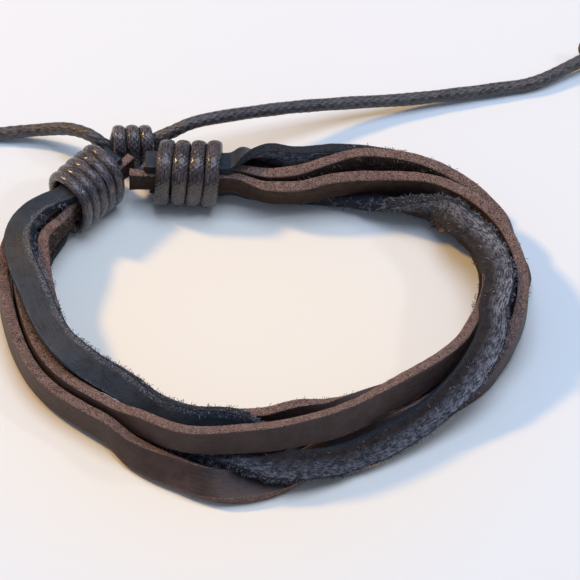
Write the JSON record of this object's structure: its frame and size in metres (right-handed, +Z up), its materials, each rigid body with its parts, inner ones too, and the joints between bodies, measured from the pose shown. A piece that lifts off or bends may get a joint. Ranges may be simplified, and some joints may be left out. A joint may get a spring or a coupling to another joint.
{
  "type": "leather bracelet",
  "caption": "Loose bundle of flat leather straps closed into a wrist loop by two cord bindings, with a sliding knot and two drawn cords ending in stopper knots",
  "frame": {"origin": "Centre of the box round the straps, bindings and sliding knot, at the height of the surface the bracelet lies on. The two drawn cords and their stopper knots are left out of that box.", "axes": "+X along the wide way of the loop, from the left binding's side to the right; +Y from the free front of the loop towards the bindings at the back; +Z up, away from the surface it lies on."},
  "size_m": [0.1021, 0.0847, 0.0102],
  "materials": {
    "brown_leather": "dull grain face, lighter fibrous cut edges",
    "black_leather": "dull smooth face, napped fibrous back",
    "binding_cord": "waxed, satin",
    "drawn_cord": "waxed, satin"
  },
  "bodies": {
    "root": {"brown_strap_a": "brown_leather", "brown_strap_b": "brown_leather", "brown_strap_c": "brown_leather", "black_strap_a": "black_leather", "black_strap_b": "black_leather", "binding_left": "binding_cord", "binding_right": "binding_cord", "sliding_knot": "binding_cord", "cord_left": "drawn_cord", "cord_right": "drawn_cord", "stopper_knot_left": "drawn_cord", "stopper_knot_right": "drawn_cord"}
  },
  "joints": []
}
